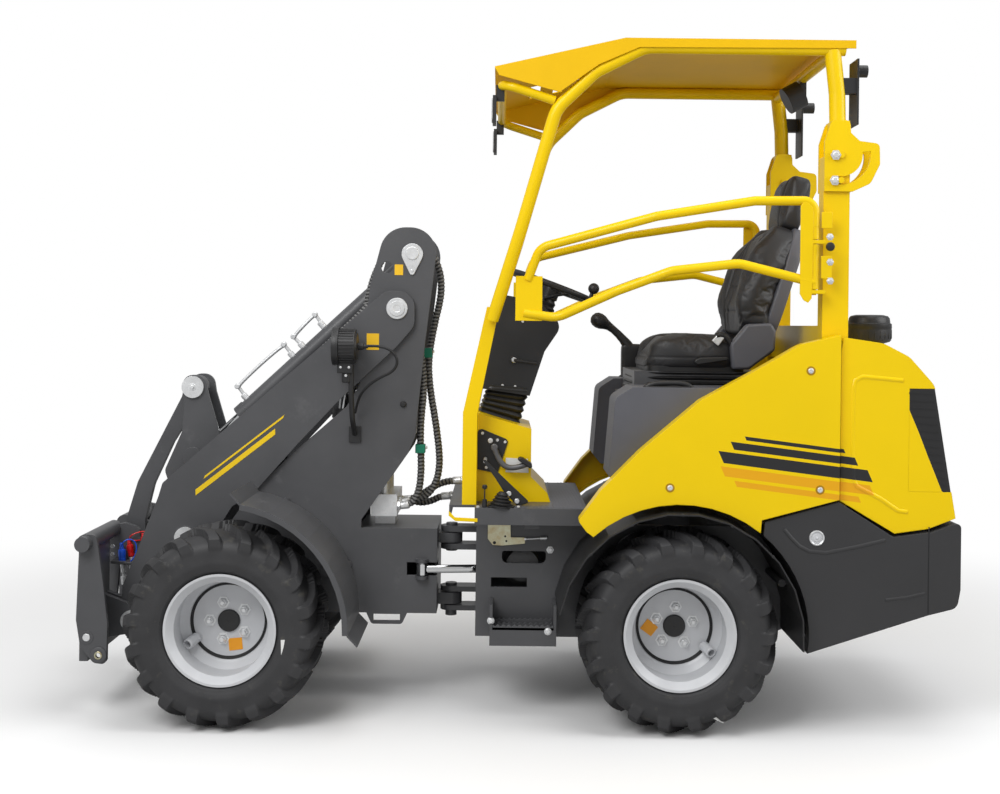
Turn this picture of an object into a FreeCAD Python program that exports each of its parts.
"""Mini wheel loader with an articulated chassis, a two-plate lifting boom and a folding canopy.

Frame: +X forward, +Y to the machine's left, +Z up, origin on the ground below the middle of
the machine. Lengths are millimetres. Every driving size is a cell of the sheet "sizes";
places are linear sums of those cells, so that a piece follows what it fits to.
"""
import FreeCAD, Part
import math
import os
import Sketcher
from FreeCAD import Placement, Rotation, Vector

DRIVING = {
    # chassis
    "pivot_x": 228, "front_reach": 707, "rear_reach": 739, "axle_height": 320, "track": 810,
    "tyre_radius": 320, "tyre_width": 300, "rim_radius": 178, "bead_radius": 160,
    "rim_disc_inset": 150, "rim_wall": 7, "tyre_frame_gap": 28, "plate_wall": 12,
    "cheek_inner": 150, "front_box_rear": 44, "front_box_top": 590, "front_box_low": 300,
    "yoke_radius": 38, "pivot_pin_radius": 20, "rear_frame_front": 90, "rear_frame_top": 620,
    "rear_frame_low": 240, "axle_tube_radius": 55, "axle_case_radius": 92,
    # working gear: pins of the boom and its linkage
    "boom_pivot_x": -517, "boom_pivot_z": 1342, "tower_pin_x": -566, "tower_pin_z": 1529,
    "rocker_foot_x": 196, "rocker_foot_z": 553, "rocker_eye_x": 197, "rocker_eye_z": 815,
    "rocker_top_x": 200, "rocker_top_z": 1061, "coupler_pin_x": 369, "coupler_pin_z": 274,
    "coupler_eye_x": 410, "coupler_eye_z": 535, "lift_eye_x": -335, "lift_eye_z": 1075,
    "lift_foot_x": -285, "lift_foot_z": 440, "boom_gap": 6, "boom_wall": 12,
    "rocker_half": 60, "rocker_wall": 14, "link_half": 14, "pin_radius": 20, "pin_play": 0.05,
    "tilt_barrel_radius": 33, "tilt_rod_radius": 17, "lift_barrel_radius": 33,
    "lift_rod_radius": 17, "lift_offset": 95, "middle_tube_x": -50, "middle_tube_z": 800,
    "middle_tube_radius": 40, "hose_radius": 13, "coupler_half": 385, "coupler_wall": 16,
    "coupler_tube_radius": 28, "coupler_hook_radius": 25,
    # operator's place
    "floor_z": 690, "floor_half": 360, "floor_wall": 8, "floor_lip": 55, "pedestal_half": 195,
    "column_y": 262, "column_half": 24, "seat_half": 235, "wheel_rim_radius": 152,
    "wheel_rim_wire": 11, "steer_hub_x": -118, "steer_hub_z": 1428, "steer_tilt": -20,
    # guards and canopy
    "post_y": 420, "post_half": 42, "post_foot_half": 36, "post_x": -497,
    "fold_x": -506, "fold_z": 1848, "canopy_tube_radius": 21, "roof_z": 2192, "roof_wall": 4,
    "bar_y": 478, "bar_tube_radius": 15, "bar_hinge_x": -421, "bar_hinge_low": 1415,
    "lock_reach": 83, "lock_radius": 10,
    # rear body
    "panel_outer": 520, "panel_depth": 60, "panel_wall": 6, "arch_radius": 410,
    "fender_radius": 388, "fender_wall": 5, "front_fender_radius": 405, "fender_inner": 232,
    "fender_outer": 560, "fender_flap": 47, "fender_lip": 18, "fender_lip_wall": 4,
    "hood_half": 500, "hood_wall": 6, "hood_hinge_x": -567,
    "hood_hinge_z": 1244, "tank_inner": 245, "weight_outer": 510,
    # steering cylinder
    "steer_foot_x": -478, "steer_foot_y": 104, "steer_eye_x": 95, "steer_eye_y": 166,
    "steer_z": 452,
}

doc = FreeCAD.newDocument("mini_wheel_loader")
sheet = doc.addObject("Spreadsheet::Sheet", "sizes")
for row, (alias, number) in enumerate(DRIVING.items(), start=1):
    sheet.set(f"A{row}", alias)
    sheet.set(f"B{row}", str(number))
    sheet.setAlias(f"B{row}", alias)
doc.recompute()


class Size:
    """A linear sum of sheet cells and a plain number: it knows its value and its expression."""

    def __init__(self, terms=None, rest=0.0):
        self.terms, self.rest = dict(terms or {}), float(rest)

    @property
    def value(self):
        return sum(k * DRIVING[name] for name, k in self.terms.items()) + self.rest

    @property
    def text(self):
        parts = [f"{k:g} * sizes.{name}" for name, k in self.terms.items()]
        return " + ".join(parts + [f"{self.rest:.6g}"])

    def __add__(self, other):
        other = size(other)
        terms = dict(self.terms)
        for name, k in other.terms.items():
            terms[name] = terms.get(name, 0) + k
        return Size(terms, self.rest + other.rest)

    def __mul__(self, k):
        return Size({name: k * v for name, v in self.terms.items()}, k * self.rest)

    def __sub__(self, other):
        return self + size(other) * -1

    def __neg__(self):
        return self * -1

    def __rsub__(self, other):
        return size(other) - self

    __radd__, __rmul__ = __add__, __mul__

    def __truediv__(self, k):
        return self * (1 / k)


def size(x):
    """A Size from a sheet alias, a number or another Size."""
    if isinstance(x, Size):
        return x
    return Size({x: 1}) if isinstance(x, str) else Size(rest=x)


def bind(thing, name, x):
    """Sets a property from a Size and ties it to the sheet by an expression."""
    thing.setExpression(name, size(x).text)


# ------------------------------------------------------------------ named places
PIVOT_X = size("pivot_x")
FRONT_X = PIVOT_X + "front_reach"          # front axle
REAR_X = PIVOT_X - "rear_reach"            # rear axle
AXLE_Z = size("axle_height")
PLACES = {
    "ground": (size(0), size(0)),
    "pivot": (PIVOT_X, size(0)),
    "front": (FRONT_X, size(0)),
    "rear": (REAR_X, size(0)),
    "boom_pivot": (FRONT_X + "boom_pivot_x", size("boom_pivot_z")),
    "tower_pin": (FRONT_X + "tower_pin_x", size("tower_pin_z")),
    "rocker_foot": (FRONT_X + "rocker_foot_x", size("rocker_foot_z")),
    "rocker_eye": (FRONT_X + "rocker_eye_x", size("rocker_eye_z")),
    "rocker_top": (FRONT_X + "rocker_top_x", size("rocker_top_z")),
    "coupler_pin": (FRONT_X + "coupler_pin_x", size("coupler_pin_z")),
    "coupler_eye": (FRONT_X + "coupler_eye_x", size("coupler_eye_z")),
    "lift_eye": (FRONT_X + "lift_eye_x", size("lift_eye_z")),
    "lift_foot": (FRONT_X + "lift_foot_x", size("lift_foot_z")),
    "fold": (REAR_X + "fold_x", size("fold_z")),
    "canopy": (REAR_X + "fold_x", size(0)),
    "hood_hinge": (REAR_X + "hood_hinge_x", size("hood_hinge_z")),
}
CHEEK_IN = size("cheek_inner")
CHEEK_OUT = CHEEK_IN + "plate_wall"
BOOM_IN = CHEEK_OUT + "boom_gap"
BOOM_OUT = BOOM_IN + "boom_wall"
FRAME_OUT = size("track") / 2 - size("tyre_width") / 2 - "tyre_frame_gap"
FRAME_IN = FRAME_OUT - "plate_wall"
TYRE_Y = size("track") / 2
HOSE_WALL_X = FRONT_X - 312                # rear face of the boom's wall, where a hose ends

FRONT_FENDER_ARC = (99, 181)

NODES = {}


def keep(label, thing):
    """Names a finished sub-part: its label is its file's and its node's name."""
    thing.Label = label
    NODES[label] = thing
    return thing


def spot(p):
    """The (x, z) Sizes of an outline point: a place's name with its two offsets."""
    place, dx, dz = p
    return PLACES[place][0] + dx, PLACES[place][1] + dz


# ------------------------------------------------------------------ ways of making
def plate(name, points, y_low, y_high, holes=(), rounds=()):
    """A flat plate in the XZ plane between two Y values, with round holes and round corners.
    rounds is a list of (point index, radius)."""
    body = doc.addObject("PartDesign::Body", name)
    plane = [f for f in body.Origin.OriginFeatures if f.Role == "XZ_Plane"][0]
    sketch = body.newObject("Sketcher::SketchObject", name + "_outline")
    sketch.AttachmentSupport = (plane, "")
    sketch.MapMode = "FlatFace"
    y_low, y_high = size(y_low), size(y_high)
    at = [spot(p) for p in points]
    n = len(at)
    for i in range(n):
        (x0, z0), (x1, z1) = at[i], at[(i + 1) % n]
        sketch.addGeometry(
            Part.LineSegment(Vector(x0.value, z0.value, 0), Vector(x1.value, z1.value, 0)))
    for i in range(n):
        sketch.addConstraint(Sketch("Coincident", i, 2, (i + 1) % n, 1))
    for i, (x, z) in enumerate(at):
        for kind, v in (("DistanceX", x), ("DistanceY", z)):
            c = sketch.addConstraint(Sketch(kind, -1, 1, i, 1, v.value))
            sketch.setExpression(f"Constraints[{c}]", v.text)
    for p, radius in holes:
        x, z = spot(p)
        radius = size(radius)
        g = sketch.addGeometry(
            Part.Circle(Vector(x.value, z.value, 0), Vector(0, 0, 1), radius.value))
        for kind, v in (("DistanceX", x), ("DistanceY", z)):
            c = sketch.addConstraint(Sketch(kind, -1, 1, g, 3, v.value))
            sketch.setExpression(f"Constraints[{c}]", v.text)
        c = sketch.addConstraint(Sketch("Radius", g, radius.value))
        sketch.setExpression(f"Constraints[{c}]", radius.text)
    pad = body.newObject("PartDesign::Pad", name + "_pad")
    pad.Profile = sketch
    pad.Reversed = True
    bind(pad, "Length", y_high - y_low)
    pad.Length = (y_high - y_low).value
    sketch.AttachmentOffset = Placement(Vector(0, 0, -y_low.value), Rotation())
    bind(sketch, "AttachmentOffset.Base.z", -y_low)
    body.Tip = pad
    doc.recompute()
    for radius in sorted({r for _, r in rounds}):
        corners = [at[i] for i, r in rounds if r == radius]
        edges = corner_edges(body.Shape, corners)
        last = body.Tip
        fillet = body.newObject("PartDesign::Fillet", name + "_round")
        fillet.Base = (last, edges)
        fillet.Radius = radius
        body.Tip = fillet
        doc.recompute()
    return body


def Sketch(*args):
    """A sketcher constraint."""
    return Sketcher.Constraint(*args)


def corner_edges(shape, corners):
    """Names of the edges that run along Y through the given (x, z) corners."""
    names = []
    for i, edge in enumerate(shape.Edges, start=1):
        a, b = edge.Vertexes[0].Point, edge.Vertexes[-1].Point
        if abs(a.x - b.x) > 1e-4 or abs(a.z - b.z) > 1e-4 or abs(a.y - b.y) < 1e-4:
            continue
        if any(abs(a.x - x.value) < 1e-3 and abs(a.z - z.value) < 1e-3 for x, z in corners):
            names.append(f"Edge{i}")
    return names


def turned(name, profile, place, y_centre=0):
    """A solid turned about a Y axis through a place (x, z): profile is (y, radius) points."""
    body = doc.addObject("PartDesign::Body", name)
    plane = [f for f in body.Origin.OriginFeatures if f.Role == "XY_Plane"][0]
    axis = [f for f in body.Origin.OriginFeatures if f.Role == "Y_Axis"][0]
    sketch = body.newObject("Sketcher::SketchObject", name + "_profile")
    sketch.AttachmentSupport = (plane, "")
    sketch.MapMode = "FlatFace"
    at = [(size(radius), size(y)) for y, radius in profile]
    n = len(at)
    for i in range(n):
        (r0, y0), (r1, y1) = at[i], at[(i + 1) % n]
        sketch.addGeometry(
            Part.LineSegment(Vector(r0.value, y0.value, 0), Vector(r1.value, y1.value, 0)))
    for i in range(n):
        sketch.addConstraint(Sketch("Coincident", i, 2, (i + 1) % n, 1))
    for i, (r, y) in enumerate(at):
        for kind, v in (("DistanceX", r), ("DistanceY", y)):
            c = sketch.addConstraint(Sketch(kind, -1, 1, i, 1, v.value))
            sketch.setExpression(f"Constraints[{c}]", v.text)
    turn = body.newObject("PartDesign::Revolution", name + "_turn")
    turn.Profile = sketch
    turn.ReferenceAxis = (axis, [""])
    turn.Angle = 360
    body.Tip = turn
    move(body, place[0], y_centre, place[1])
    return body


def move(thing, x, y, z, rotation=None):
    """Puts an object at a place tied to the sheet."""
    x, y, z = size(x), size(y), size(z)
    thing.Placement = Placement(Vector(x.value, y.value, z.value), rotation or Rotation())
    for axis, v in zip("xyz", (x, y, z)):
        bind(thing, f"Placement.Base.{axis}", v)


def block(name, x0, x1, y0, y1, z0, z1):
    """A box between six limits."""
    box = doc.addObject("Part::Box", name)
    for prop, low, high in (("Length", x0, x1), ("Width", y0, y1), ("Height", z0, z1)):
        setattr(box, prop, (size(high) - low).value)
        bind(box, prop, size(high) - low)
    move(box, x0, y0, z0)
    return box


def round_y(name, place, y0, y1, radius):
    """A cylinder along Y at a place (x, z) between two Y values."""
    rod = doc.addObject("Part::Cylinder", name)
    rod.Radius, rod.Height = size(radius).value, (size(y1) - y0).value
    bind(rod, "Radius", radius)
    bind(rod, "Height", size(y1) - y0)
    move(rod, place[0], y0, place[1], Rotation(Vector(1, 0, 0), -90))
    return rod


def headed_pin(name, place, face, head_radius, head):
    """A pin across the machine at a place, with a round head outside each plate's face."""
    at = PLACES[place]
    end = face + 0.5 + head
    return weld(
        name, round_y(name + "_bar", at, -end, end, "pin_radius"),
        round_y(name + "_head_left", at, face + 0.5, end, head_radius),
        round_y(name + "_head_right", at, -end, -face - 0.5, head_radius))


def round_z(name, x, y, z0, z1, radius):
    """An upright cylinder."""
    rod = doc.addObject("Part::Cylinder", name)
    rod.Radius, rod.Height = size(radius).value, (size(z1) - z0).value
    bind(rod, "Radius", radius)
    bind(rod, "Height", size(z1) - z0)
    move(rod, x, y, z0)
    return rod


def between(name, a, b, start, length, radius):
    """A cylinder on the line from point a to point b, from start along it, of a length."""
    a, b = Vector(*[size(v).value for v in a]), Vector(*[size(v).value for v in b])
    axis = (b - a).normalize()
    rod = doc.addObject("Part::Cylinder", name)
    rod.Radius, rod.Height = size(radius).value, length
    bind(rod, "Radius", radius)
    rod.Placement = Placement(a + axis * start, Rotation(Vector(0, 0, 1), axis))
    return rod


def span(a, b):
    """The distance between two points of Sizes or numbers."""
    return math.dist([size(v).value for v in a], [size(v).value for v in b])


def rounded_path(points, bend):
    """A wire of straight runs joined by tangent arcs through points."""
    points = [Vector(*p) for p in points]
    edges, start = [], points[0]
    for before, corner, after in zip(points, points[1:], points[2:]):
        u, v = (before - corner).normalize(), (after - corner).normalize()
        half = u.getAngle(v) / 2
        if half > 1.56:
            continue
        room = 0.45 * min((before - corner).Length, (after - corner).Length)
        reach = min(bend / math.tan(half), room)
        p, q = corner + u * reach, corner + v * reach
        radius = reach * math.tan(half)
        centre = corner + (u + v).normalize() * (radius / math.sin(half))
        middle = centre + (corner - centre).normalize() * radius
        edges.append(Part.LineSegment(start, p).toShape())
        edges.append(Part.Arc(p, middle, q).toShape())
        start = q
    edges.append(Part.LineSegment(start, points[-1]).toShape())
    return Part.Wire(edges)


def bent_tube(name, points, radius, bend):
    """A round bar swept along a bent path. Its radius is tied to the sheet."""
    points = [[size(v).value for v in p] for p in points]
    spine = doc.addObject("Part::Feature", name + "_path")
    spine.Shape = rounded_path(points, bend)
    ring = doc.addObject("Part::Circle", name + "_ring")
    ring.Radius = size(radius).value
    bind(ring, "Radius", radius)
    start, ahead = Vector(*points[0]), Vector(*points[1])
    ring.Placement = Placement(start, Rotation(Vector(0, 0, 1), (ahead - start)))
    sweep = doc.addObject("Part::Sweep", name)
    sweep.Sections = [ring]
    sweep.Spine = (spine, [f"Edge{i + 1}" for i in range(len(spine.Shape.Edges))])
    sweep.Solid = True
    sweep.Frenet = False
    return sweep


def weld(name, *things):
    """One solid from pieces that are welded or bolted together."""
    fuse = doc.addObject("Part::MultiFuse", name)
    fuse.Shapes = list(things)
    fuse.Refine = False
    return fuse


def cut(name, base, *tools):
    """A piece with holes or a hollow taken out of it."""
    tool = tools[0] if len(tools) == 1 else weld(name + "_tools", *tools)
    result = doc.addObject("Part::Cut", name)
    result.Base, result.Tool = base, tool
    return result


def mirrored(name, thing):
    """The right-hand copy of a left-hand piece."""
    copy = doc.addObject("Part::Mirroring", name)
    copy.Source = thing
    copy.Base, copy.Normal = Vector(0, 0, 0), Vector(0, 1, 0)
    return copy


def together(name, *things):
    """Like pieces on one body that don't touch: one node of several solids."""
    group = doc.addObject("Part::Compound", name)
    group.Links = list(things)
    return group


def hollow(name, body, y_open, wall):
    """Hollows a plate body from its face at y_open, leaving a wall all round."""
    doc.recompute()
    y_open = size(y_open).value
    faces = [f"Face{i}" for i, f in enumerate(body.Shape.Faces, start=1)
             if abs(f.BoundBox.YMin - y_open) < 1e-3 and abs(f.BoundBox.YMax - y_open) < 1e-3]
    last = body.Tip
    shell = body.newObject("PartDesign::Thickness", name + "_wall")
    shell.Base = (last, faces)
    shell.Value = size(wall).value
    bind(shell, "Value", wall)
    shell.Reversed = True
    body.Tip = shell
    doc.recompute()
    return body


def arc_points(place, radius, start, end, steps):
    """Outline points on an arc about a place, angles in degrees from +X, anticlockwise."""
    out = []
    for i in range(steps + 1):
        a = math.radians(start + (end - start) * i / steps)
        out.append((place, size(radius) * math.cos(a), AXLE_Z + size(radius) * math.sin(a)))
    return out


# ------------------------------------------------------------------ wheels
def tyre_profile():
    """Half section outwards of an agricultural tyre: (y, radius) round the whole section."""
    out = size("tyre_radius")
    half = size("tyre_width") / 2
    bead = size("bead_radius") + 0.3
    right = [(half * 0.72, out), (half * 0.9, out - 10), (half * 0.98, out - 34),
             (half, out - 78), (half * 0.97, out - 118), (half * 0.8, bead + 18),
             (half * 0.76, bead)]
    left = [(y * -1, r) for y, r in reversed(right)]
    return left + right


def rim_profile():
    """Section of the steel rim: barrel, side flanges, deep-set disc and hub."""
    bead, flange = size("bead_radius"), size("rim_radius")
    edge = size("tyre_width") / 2 * 0.9
    wall = size("rim_wall")
    disc = edge - "rim_disc_inset"
    return [(edge, flange), (edge, flange - 8), (edge - 22, bead - wall - 4),
            (disc + 30, bead - wall), (disc + 12, bead - wall - 20), (disc, 118),
            (disc, 0), (disc - wall - 3, 0), (disc - wall - 3, 118),
            (disc, bead - wall), (-edge, bead - wall), (-edge, flange),
            (-edge + 4, flange), (-edge + 12, flange - 2), (-edge + 13, bead), (edge - 13, bead),
            (edge - 12, flange - 2), (edge - 4, flange)]


def wheel(side, end, axle_x):
    """A tyre and its rim at one corner. The right-hand wheel is the left one mirrored."""
    hand = 1 if side == "left" else -1
    name = f"{end}_{side}"
    tyre = turned(f"tyre_{name}", tyre_profile(), (axle_x, AXLE_Z), TYRE_Y * hand)
    profile = [(size(y) * hand, r) for y, r in rim_profile()]
    rim = turned(f"rim_{name}", profile, (axle_x, AXLE_Z), TYRE_Y * hand)
    keep(f"tyre_{name}", tyre)
    keep(f"rim_{name}", rim)


def axle(name, axle_x):
    """An axle with its middle case, its two tubes and the flanges that carry the rims."""
    reach = TYRE_Y + size("tyre_width") / 2 * 0.9 - "rim_disc_inset" - "rim_wall" - 3.3
    tube, case = size("axle_tube_radius"), size("axle_case_radius")
    right = [(size(0), case), (size(104), case), (size(128), tube), (reach - 60, tube),
             (reach - 50, 88), (reach - 14, 88), (reach, 70), (reach, 0)]
    left = [(y * -1, r) for y, r in reversed(right[1:])]
    keep(name, turned(name, left + right, (axle_x, AXLE_Z)))


# ------------------------------------------------------------------ front chassis
def front_frame():
    """The front box, the tower's two cheeks and the pivot lugs, one weldment."""
    low, top = size("front_box_low"), size("front_box_top")
    rear = PIVOT_X + "front_box_rear"
    rear_dx = rear - PIVOT_X
    outline = [
        ("tower_pin", -92, 92), ("tower_pin", 92, 92), ("boom_pivot", 96, 70),
        ("boom_pivot", 118, -180), ("lift_eye", -56, 4), ("lift_eye", -10, -72),
        ("front", -172, 850), ("front", -30, 712), ("front", 78, 560),
        ("front", 92, 440), ("front", 92, 250), ("front", -92, 250), ("front", -140, low),
        ("pivot", rear_dx, low), ("pivot", rear_dx, top),
        ("front", -402, top), ("front", -402, 618), ("front", -561, 850),
        ("front", -583, 905), ("tower_pin", -47, -305),
    ]
    cheek = plate("cheek_left", outline, CHEEK_IN, CHEEK_OUT,
                  holes=[(("tower_pin", 86, -46), 20), (("tower_pin", 0, 0),
                                                        size("pin_radius") + "pin_play"),
                         (("front", 0, AXLE_Z), size("axle_tube_radius") + "pin_play")],
                  rounds=[(0, 88), (1, 88), (4, 30), (8, 50), (10, 40), (11, 40)])
    deck = block("front_deck", rear, FRONT_X - 402, -CHEEK_IN, CHEEK_IN, top - "plate_wall", top)
    belly = block("front_belly", rear, FRONT_X + 78, -CHEEK_IN, CHEEK_IN, low, low + "plate_wall")
    back = block("front_back", rear, rear + "plate_wall", -CHEEK_IN, CHEEK_IN, low, top)
    nose = block("front_nose", FRONT_X + 110 - 44, FRONT_X + 78, -CHEEK_IN, CHEEK_IN, low, 545)
    bulkhead = block("front_bulkhead", FRONT_X - 402, FRONT_X - 390, -CHEEK_IN, CHEEK_IN, low, top)
    tower_brace = block("tower_brace", FRONT_X - 575, FRONT_X - 563, -CHEEK_IN, CHEEK_IN, 900, 1180)
    keep("tower_pin", headed_pin("tower_pin", "tower_pin", CHEEK_OUT, 33, 5))
    boom_pin = round_y("boom_pin", PLACES["boom_pivot"], -BOOM_OUT - 8, BOOM_OUT + 8, 24.95)
    lift_pin = round_y("lift_pin", PLACES["lift_foot"], -CHEEK_OUT - 4, CHEEK_OUT + 4, "pin_radius")
    pieces = [cheek, mirrored("cheek_right", cheek), deck, belly, back, nose, bulkhead,
              tower_brace, boom_pin, lift_pin]
    for name, z0, z1 in (("upper", 522, 556), ("lower", 306, 346)):
        arm = block(f"front_{name}_arm", PIVOT_X, rear, -size("yoke_radius"), "yoke_radius", z0, z1)
        eye = round_z(f"front_{name}_eye", PIVOT_X, 0, z0, z1, "yoke_radius")
        hole = round_z(f"front_{name}_bore", PIVOT_X, 0, z0 - 5, z1 + 5,
                       size("pivot_pin_radius") + "pin_play")
        pieces.append(cut(f"front_{name}_lug", weld(f"front_{name}_solid", arm, eye), hole))
    eye_x, eye_y = PIVOT_X + "steer_eye_x", size("steer_eye_y")
    for name, z0, z1 in (("upper", 22, 34), ("lower", -34, -22)):
        z0, z1 = size("steer_z") + z0, size("steer_z") + z1
        arm = block(f"clevis_{name}_arm", eye_x - 20, eye_x + 20, CHEEK_IN, eye_y, z0, z1)
        eye = round_z(f"clevis_{name}_eye", eye_x, eye_y, z0, z1, 22)
        pieces += [arm, eye]
    loop = plate("tie_down_loop", [("front", -565, low + 6), ("front", -420, low + 6),
                                   ("front", -440, low - 38), ("front", -545, low - 38)],
                 CHEEK_IN, CHEEK_OUT, rounds=[(2, 14), (3, 14)])
    slot = block("tie_down_slot", FRONT_X - 538, FRONT_X - 447, CHEEK_IN - 5, CHEEK_OUT + 5,
                 low - 27, low - 4)
    lug = cut("tie_down_left", loop, slot)
    pieces += [lug, mirrored("tie_down_right", lug)]
    notch = block("steer_notch", rear - 5, eye_x + 52, 60, CHEEK_OUT + 5, size("steer_z") - 22,
                  size("steer_z") + 22)
    room = round_y("front_case_room", (FRONT_X, AXLE_Z), -CHEEK_IN, CHEEK_IN, size("axle_case_radius") + 4)
    keep("front_frame", cut("front_frame", weld("front_weldment", *pieces), notch, room))


def fender(name, end, radius, start, end_angle):
    """A curved sheet guard over a wheel."""
    steps = 12
    outer = arc_points(end, radius, start, end_angle, steps)
    inner = arc_points(end, size(radius) - "fender_wall", end_angle, start, steps)
    return plate(name, outer + inner, "fender_inner", "fender_outer")


def front_fenders():
    """Both front guards: a curved sheet, a flap at each end, a folded outer lip and the stays."""
    radius, wall = size("front_fender_radius"), size("fender_wall")
    low, high = FRONT_FENDER_ARC
    sheet_left = fender("front_fender_sheet", "front", radius, low, high)
    lip = fender_lip("front_fender_lip", radius, low, high)
    flaps = [fender_flap("front_fender_flap_front", radius, low, 49),
             fender_flap("front_fender_flap_rear", radius, high, 226)]
    stays = []
    for i, angle in enumerate((112, 158)):
        a = math.radians(angle)
        r = radius - wall - 11.5
        centre = (FRONT_X + r * math.cos(a), AXLE_Z + r * math.sin(a))
        stays.append(round_y(f"front_fender_stay_{i}", centre, CHEEK_OUT, size("fender_outer") - 120, 12))
    left = weld("front_fender_left", sheet_left, lip, *flaps, *stays)
    keep("front_fenders", together("front_fenders", left, mirrored("front_fender_right", left)))


def fender_lip(name, radius, start, end_angle):
    """The folded edge along a guard's outer side."""
    wall = size("fender_wall")
    outer = arc_points("front", radius - wall / 2, start, end_angle, 12)
    inner = arc_points("front", radius - "fender_lip", end_angle, start, 12)
    return plate(name, outer + inner, size("fender_outer") - "fender_lip_wall", "fender_outer")


def fender_flap(name, radius, angle, heading):
    """A straight flap that carries on from a guard's end at another heading, in degrees."""
    a, h = math.radians(angle), math.radians(heading)
    middle = radius - size("fender_wall") / 2
    x, z = middle * math.cos(a), AXLE_Z + middle * math.sin(a)
    long_x, long_z = size("fender_flap") * math.cos(h), size("fender_flap") * math.sin(h)
    side_x, side_z = size("fender_wall") * (math.sin(h) / 2), size("fender_wall") * (math.cos(h) / -2)
    points = [("front", x - side_x, z - side_z), ("front", x + long_x - side_x, z + long_z - side_z),
              ("front", x + long_x + side_x, z + long_z + side_z), ("front", x + side_x, z + side_z)]
    return plate(name, points, "fender_inner", "fender_outer")


def headlamps():
    """Work lamps on swan-neck brackets at the tower's front edge."""
    x, z = FRONT_X - 353, size(1213)
    can = between("lamp_can", (x - 34, 262, z), (x + 34, 262, z), 0, 68, 58)
    face = between("lamp_face", (x - 34, 262, z), (x + 34, 262, z), 60, 16, 64)
    arm = bent_tube("lamp_arm", [(x - 20, 262, z - 50), (x - 20, 262, z - 150), (x - 22, 230, z - 250),
                                 (x - 24, CHEEK_OUT + 6, z - 300)], 9, 60)
    foot = block("lamp_foot", x - 44, x - 4, CHEEK_OUT, CHEEK_OUT + 8, z - 330, z - 275)
    left = weld("headlamp_left", can, face, arm, foot)
    keep("headlamps", together("headlamps", left, mirrored("headlamp_right", left)))


def valve_block():
    """The hydraulic manifold inside the tower's foot, with its row of fittings."""
    body = block("manifold", FRONT_X - 520, FRONT_X - 430, -120, 120, 625, 700)
    foot = block("manifold_foot", FRONT_X - 510, FRONT_X - 440, -60, 60, size("front_box_top"), 630)
    spools = [between(f"spool_{i}", (FRONT_X - 475, -90 + 60 * i, 690), (FRONT_X - 475,
            -90 + 60 * i, 800), 0, 62, 17)
              for i in range(4)]
    keep("valve_block", weld("valve_block", body, foot, *spools))


# ------------------------------------------------------------------ boom and its linkage
def boom():
    """Two side plates outside the tower, joined by the cross tubes."""
    outline = [
        ("boom_pivot", -60, 60), ("boom_pivot", 40, 60), ("rocker_eye", 79, -77),
        ("rocker_eye", 93, -125), ("coupler_pin", -9, 232), ("coupler_pin", 40, 110),
        ("coupler_pin", 46, -46), ("coupler_pin", -46, -46), ("coupler_pin", -56, 70),
        ("rocker_foot", 62, -66), ("rocker_foot", -40, -62), ("rocker_foot", -86, -10),
        ("front", 38, 660), ("front", -40, 712), ("front", -176, 868), ("front", -318, 1022),
        ("boom_pivot", 0, -130), ("boom_pivot", -60, -60),
    ]
    fit = size("pin_radius") + "pin_play"
    middle = (FRONT_X + "middle_tube_x", size("middle_tube_z"))
    side = plate("boom_side_left", outline, BOOM_IN, BOOM_OUT,
                 holes=[(("boom_pivot", 0, 0), 25), (("coupler_pin", 0, 0), fit), (("rocker_foot",
                         0, 0), fit)],
                 rounds=[(0, 56), (1, 50), (2, 18), (6, 44), (7, 44), (9, 60), (10, 60), (17, 56)])
    tubes = [
        round_y("boom_middle_tube", middle, -BOOM_IN, BOOM_IN, "middle_tube_radius"),
        round_y("boom_front_tube", (FRONT_X + 340, size(410)), -BOOM_IN, BOOM_IN, 26),
        round_y("boom_lift_tube_left", PLACES["lift_eye"], size("lift_offset") + 26, BOOM_IN, 24),
        round_y("boom_lift_tube_middle", PLACES["lift_eye"], -(size("lift_offset") - 26),
                size("lift_offset") - 26, 24),
        round_y("boom_lift_tube_right", PLACES["lift_eye"], -BOOM_IN, -(size("lift_offset") + 26), 24),
    ]
    web = block("boom_lift_web", HOSE_WALL_X, HOSE_WALL_X + 12, -(size("lift_offset") - 26),
                size("lift_offset") - 26, 1020, 1180)
    a, b = [(x, size(0), z) for x, z in (PLACES["lift_eye"], middle)]
    brace = between("boom_lift_brace", a, b, 0, span(a, b), 20)
    keep("boom", weld("boom", side, mirrored("boom_side_right", side), *tubes, web, brace))


def rocker():
    """The two-plate bell crank between the tilt cylinder and the link bar."""
    outline = [("rocker_top", -42, 42), ("rocker_top", 42, 42), ("rocker_top", 30, -50),
               ("rocker_eye", 40, 90),
               ("rocker_eye", 99, -46), ("rocker_eye", 62, -150), ("rocker_foot", 46, -46),
               ("rocker_foot", -46, -46),
               ("rocker_foot", -50, 60), ("rocker_eye", -99, -30), ("rocker_eye", -99, 62),
               ("rocker_top", -52, -20)]
    outer = size("rocker_half") + "rocker_wall"
    side = plate("rocker_side", outline, "rocker_half", outer,
                 holes=[(("rocker_top", 0, 0), size("pin_radius") + "pin_play"),
                        (("rocker_foot", 0, 0), size("pin_radius") + "pin_play")],
                 rounds=[(0, 40), (1, 36), (4, 30), (6, 44), (7, 44), (9, 60), (10, 40)])
    web = block("rocker_web", FRONT_X + 180, FRONT_X + 214, -size("rocker_half"), "rocker_half", 620, 634)
    cap = round_y("rocker_eye_cap", PLACES["rocker_eye"], outer, outer + 6, 36)
    left = weld("rocker_left", side, cap)
    keep("rocker", weld("rocker", left, mirrored("rocker_right", left), web))
    keep("rocker_pin", headed_pin("rocker_pin", "rocker_foot", BOOM_OUT, 36, 9))


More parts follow.
